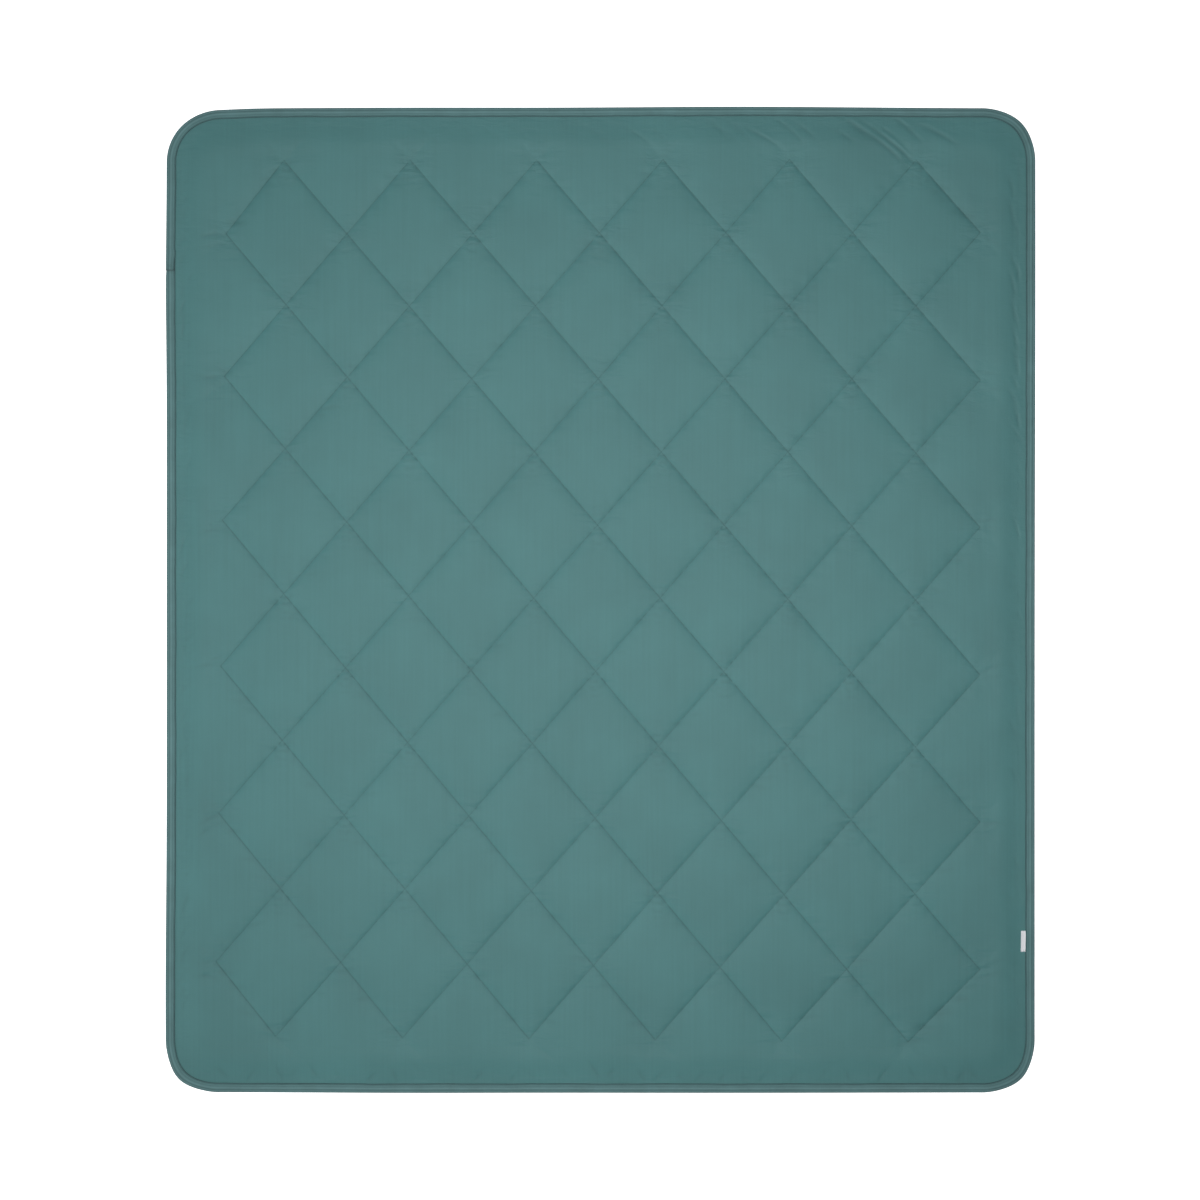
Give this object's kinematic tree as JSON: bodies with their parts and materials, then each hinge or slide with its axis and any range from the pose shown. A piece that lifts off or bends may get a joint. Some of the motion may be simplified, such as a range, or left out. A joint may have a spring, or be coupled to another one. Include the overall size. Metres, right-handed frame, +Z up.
{
  "type": "quilted camp blanket",
  "caption": "Rectangular quilted blanket laid flat: two woven panels over wadding, diamond stitching, rounded corners, a bound edge and a small label that turns up.",
  "frame": {"origin": "under the middle of the blanket, on the surface that it lies on", "axes": "+X across the width, towards the edge with the label; +Y along the length; +Z up, out of the face panel"},
  "size_m": [1.5, 1.7, 0.01],
  "materials": {
    "face_cloth": "satin",
    "back_cloth": "matte",
    "wadding": "matte",
    "binding_tape": "matte",
    "quilting_thread": "satin",
    "binding_thread": "satin",
    "label": "satin"
  },
  "bodies": {
    "blanket": {"face_panel": "face_cloth", "wadding": "wadding", "back_panel": "back_cloth", "binding_tape": "binding_tape", "quilt_needle_thread_1": "quilting_thread", "quilt_needle_thread_2": "quilting_thread", "quilt_needle_thread_3": "quilting_thread", "quilt_needle_thread_4": "quilting_thread", "quilt_needle_thread_5": "quilting_thread", "quilt_needle_thread_6": "quilting_thread", "quilt_bobbin_thread_1": "quilting_thread", "quilt_bobbin_thread_2": "quilting_thread", "quilt_bobbin_thread_3": "quilting_thread", "quilt_bobbin_thread_4": "quilting_thread", "quilt_bobbin_thread_5": "quilting_thread", "quilt_bobbin_thread_6": "quilting_thread", "binding_needle_thread": "binding_thread", "binding_bobbin_thread": "binding_thread", "join_tack_thread": "binding_thread", "label_tail": "label"},
    "label": {"label_flap": "label"}
  },
  "joints": [
    {"name": "label_turn", "type": "hinge", "parent": "blanket", "child": "label", "pos_m": [0.732, -0.589, 0.00537], "axis": [0, 1, 0], "range_deg": [0, 130]}
  ]
}
